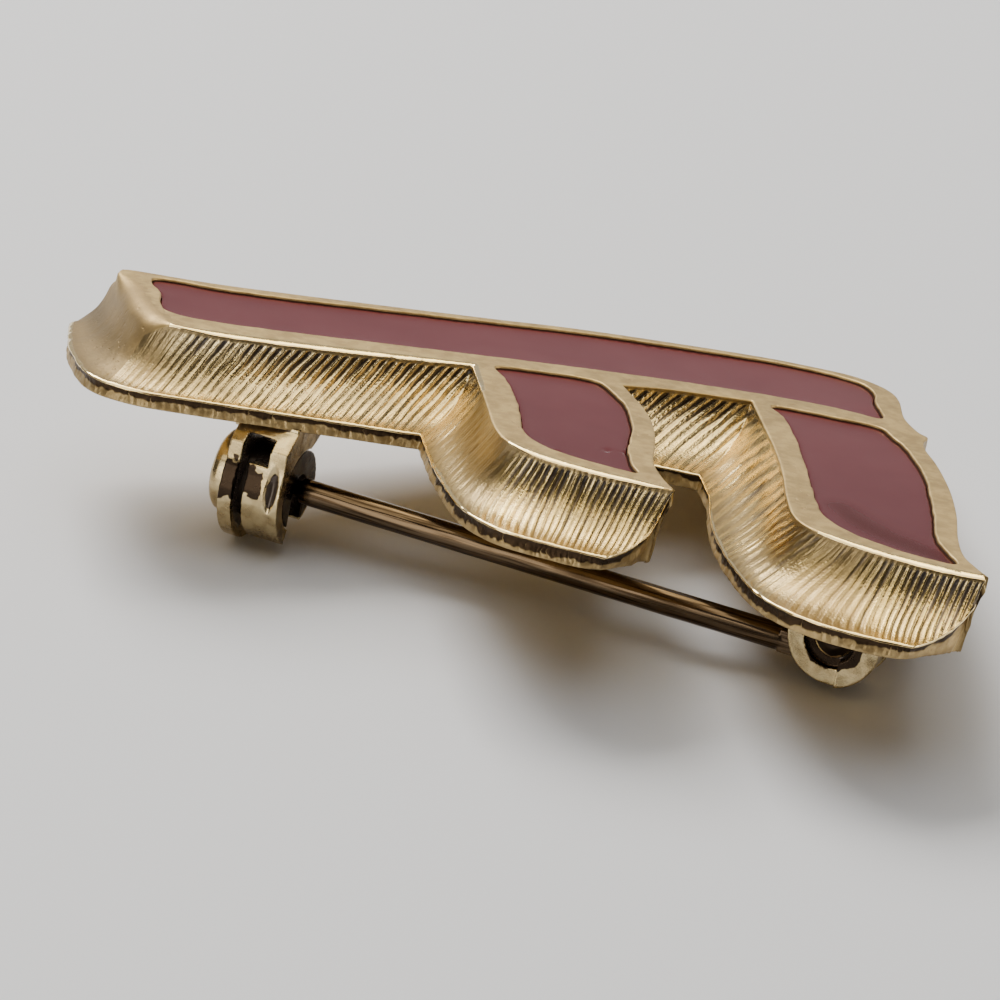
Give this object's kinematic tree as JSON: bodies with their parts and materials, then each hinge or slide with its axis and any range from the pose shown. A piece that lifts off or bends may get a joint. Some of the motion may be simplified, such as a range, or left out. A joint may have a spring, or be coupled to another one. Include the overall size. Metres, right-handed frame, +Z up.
{
  "type": "letter brooch",
  "caption": "Cast letter brooch with scooped brushed sides, sunk enamel fields, a hinged pin and a turning safety catch on its back.",
  "frame": {"origin": "the point on the table under the middle of the lying brooch's box", "axes": "+X along the letter's stem from foot to top, +Y to the letter's left edge, away from the viewer, +Z up from the table. The brooch lies face up on its catch, its hinge and its top left corner, so its face leans about 14 degrees."},
  "size_m": [0.0344, 0.027, 0.0088],
  "materials": {
    "cast_gold": "cast alloy with a pale gold plating: satin face, brushed scooped walls, rough narrow band below the lip",
    "enamel": "glossy mauve-pink enamel, slightly sunk, with a few pits",
    "rivet_metal": "worn gold plating",
    "pin_metal": "drawn wire, darker tarnished gold plating",
    "roller_metal": "worn pale gold plating"
  },
  "bodies": {
    "letter": {"letter_frame": "cast_gold", "stem_enamel": "enamel", "middle_arm_enamel": "enamel", "top_arm_enamel": "enamel", "hinge_rivet": "rivet_metal"},
    "pin": {"pin_stem": "pin_metal"},
    "roller": {"catch_roller": "roller_metal"}
  },
  "joints": [
    {"name": "pin_hinge", "type": "hinge", "parent": "letter", "child": "pin", "pos_m": [0.01233, -0.00646, 0.00211], "axis": [-0.4318, -0.8724, 0.2289], "range_deg": [0, 110]},
    {"name": "catch_turn", "type": "hinge", "parent": "letter", "child": "roller", "pos_m": [-0.00902, 0.0042, 0.00246], "axis": [-0.8893, 0.4542, 0.0533], "range_deg": [0, 100]}
  ]
}
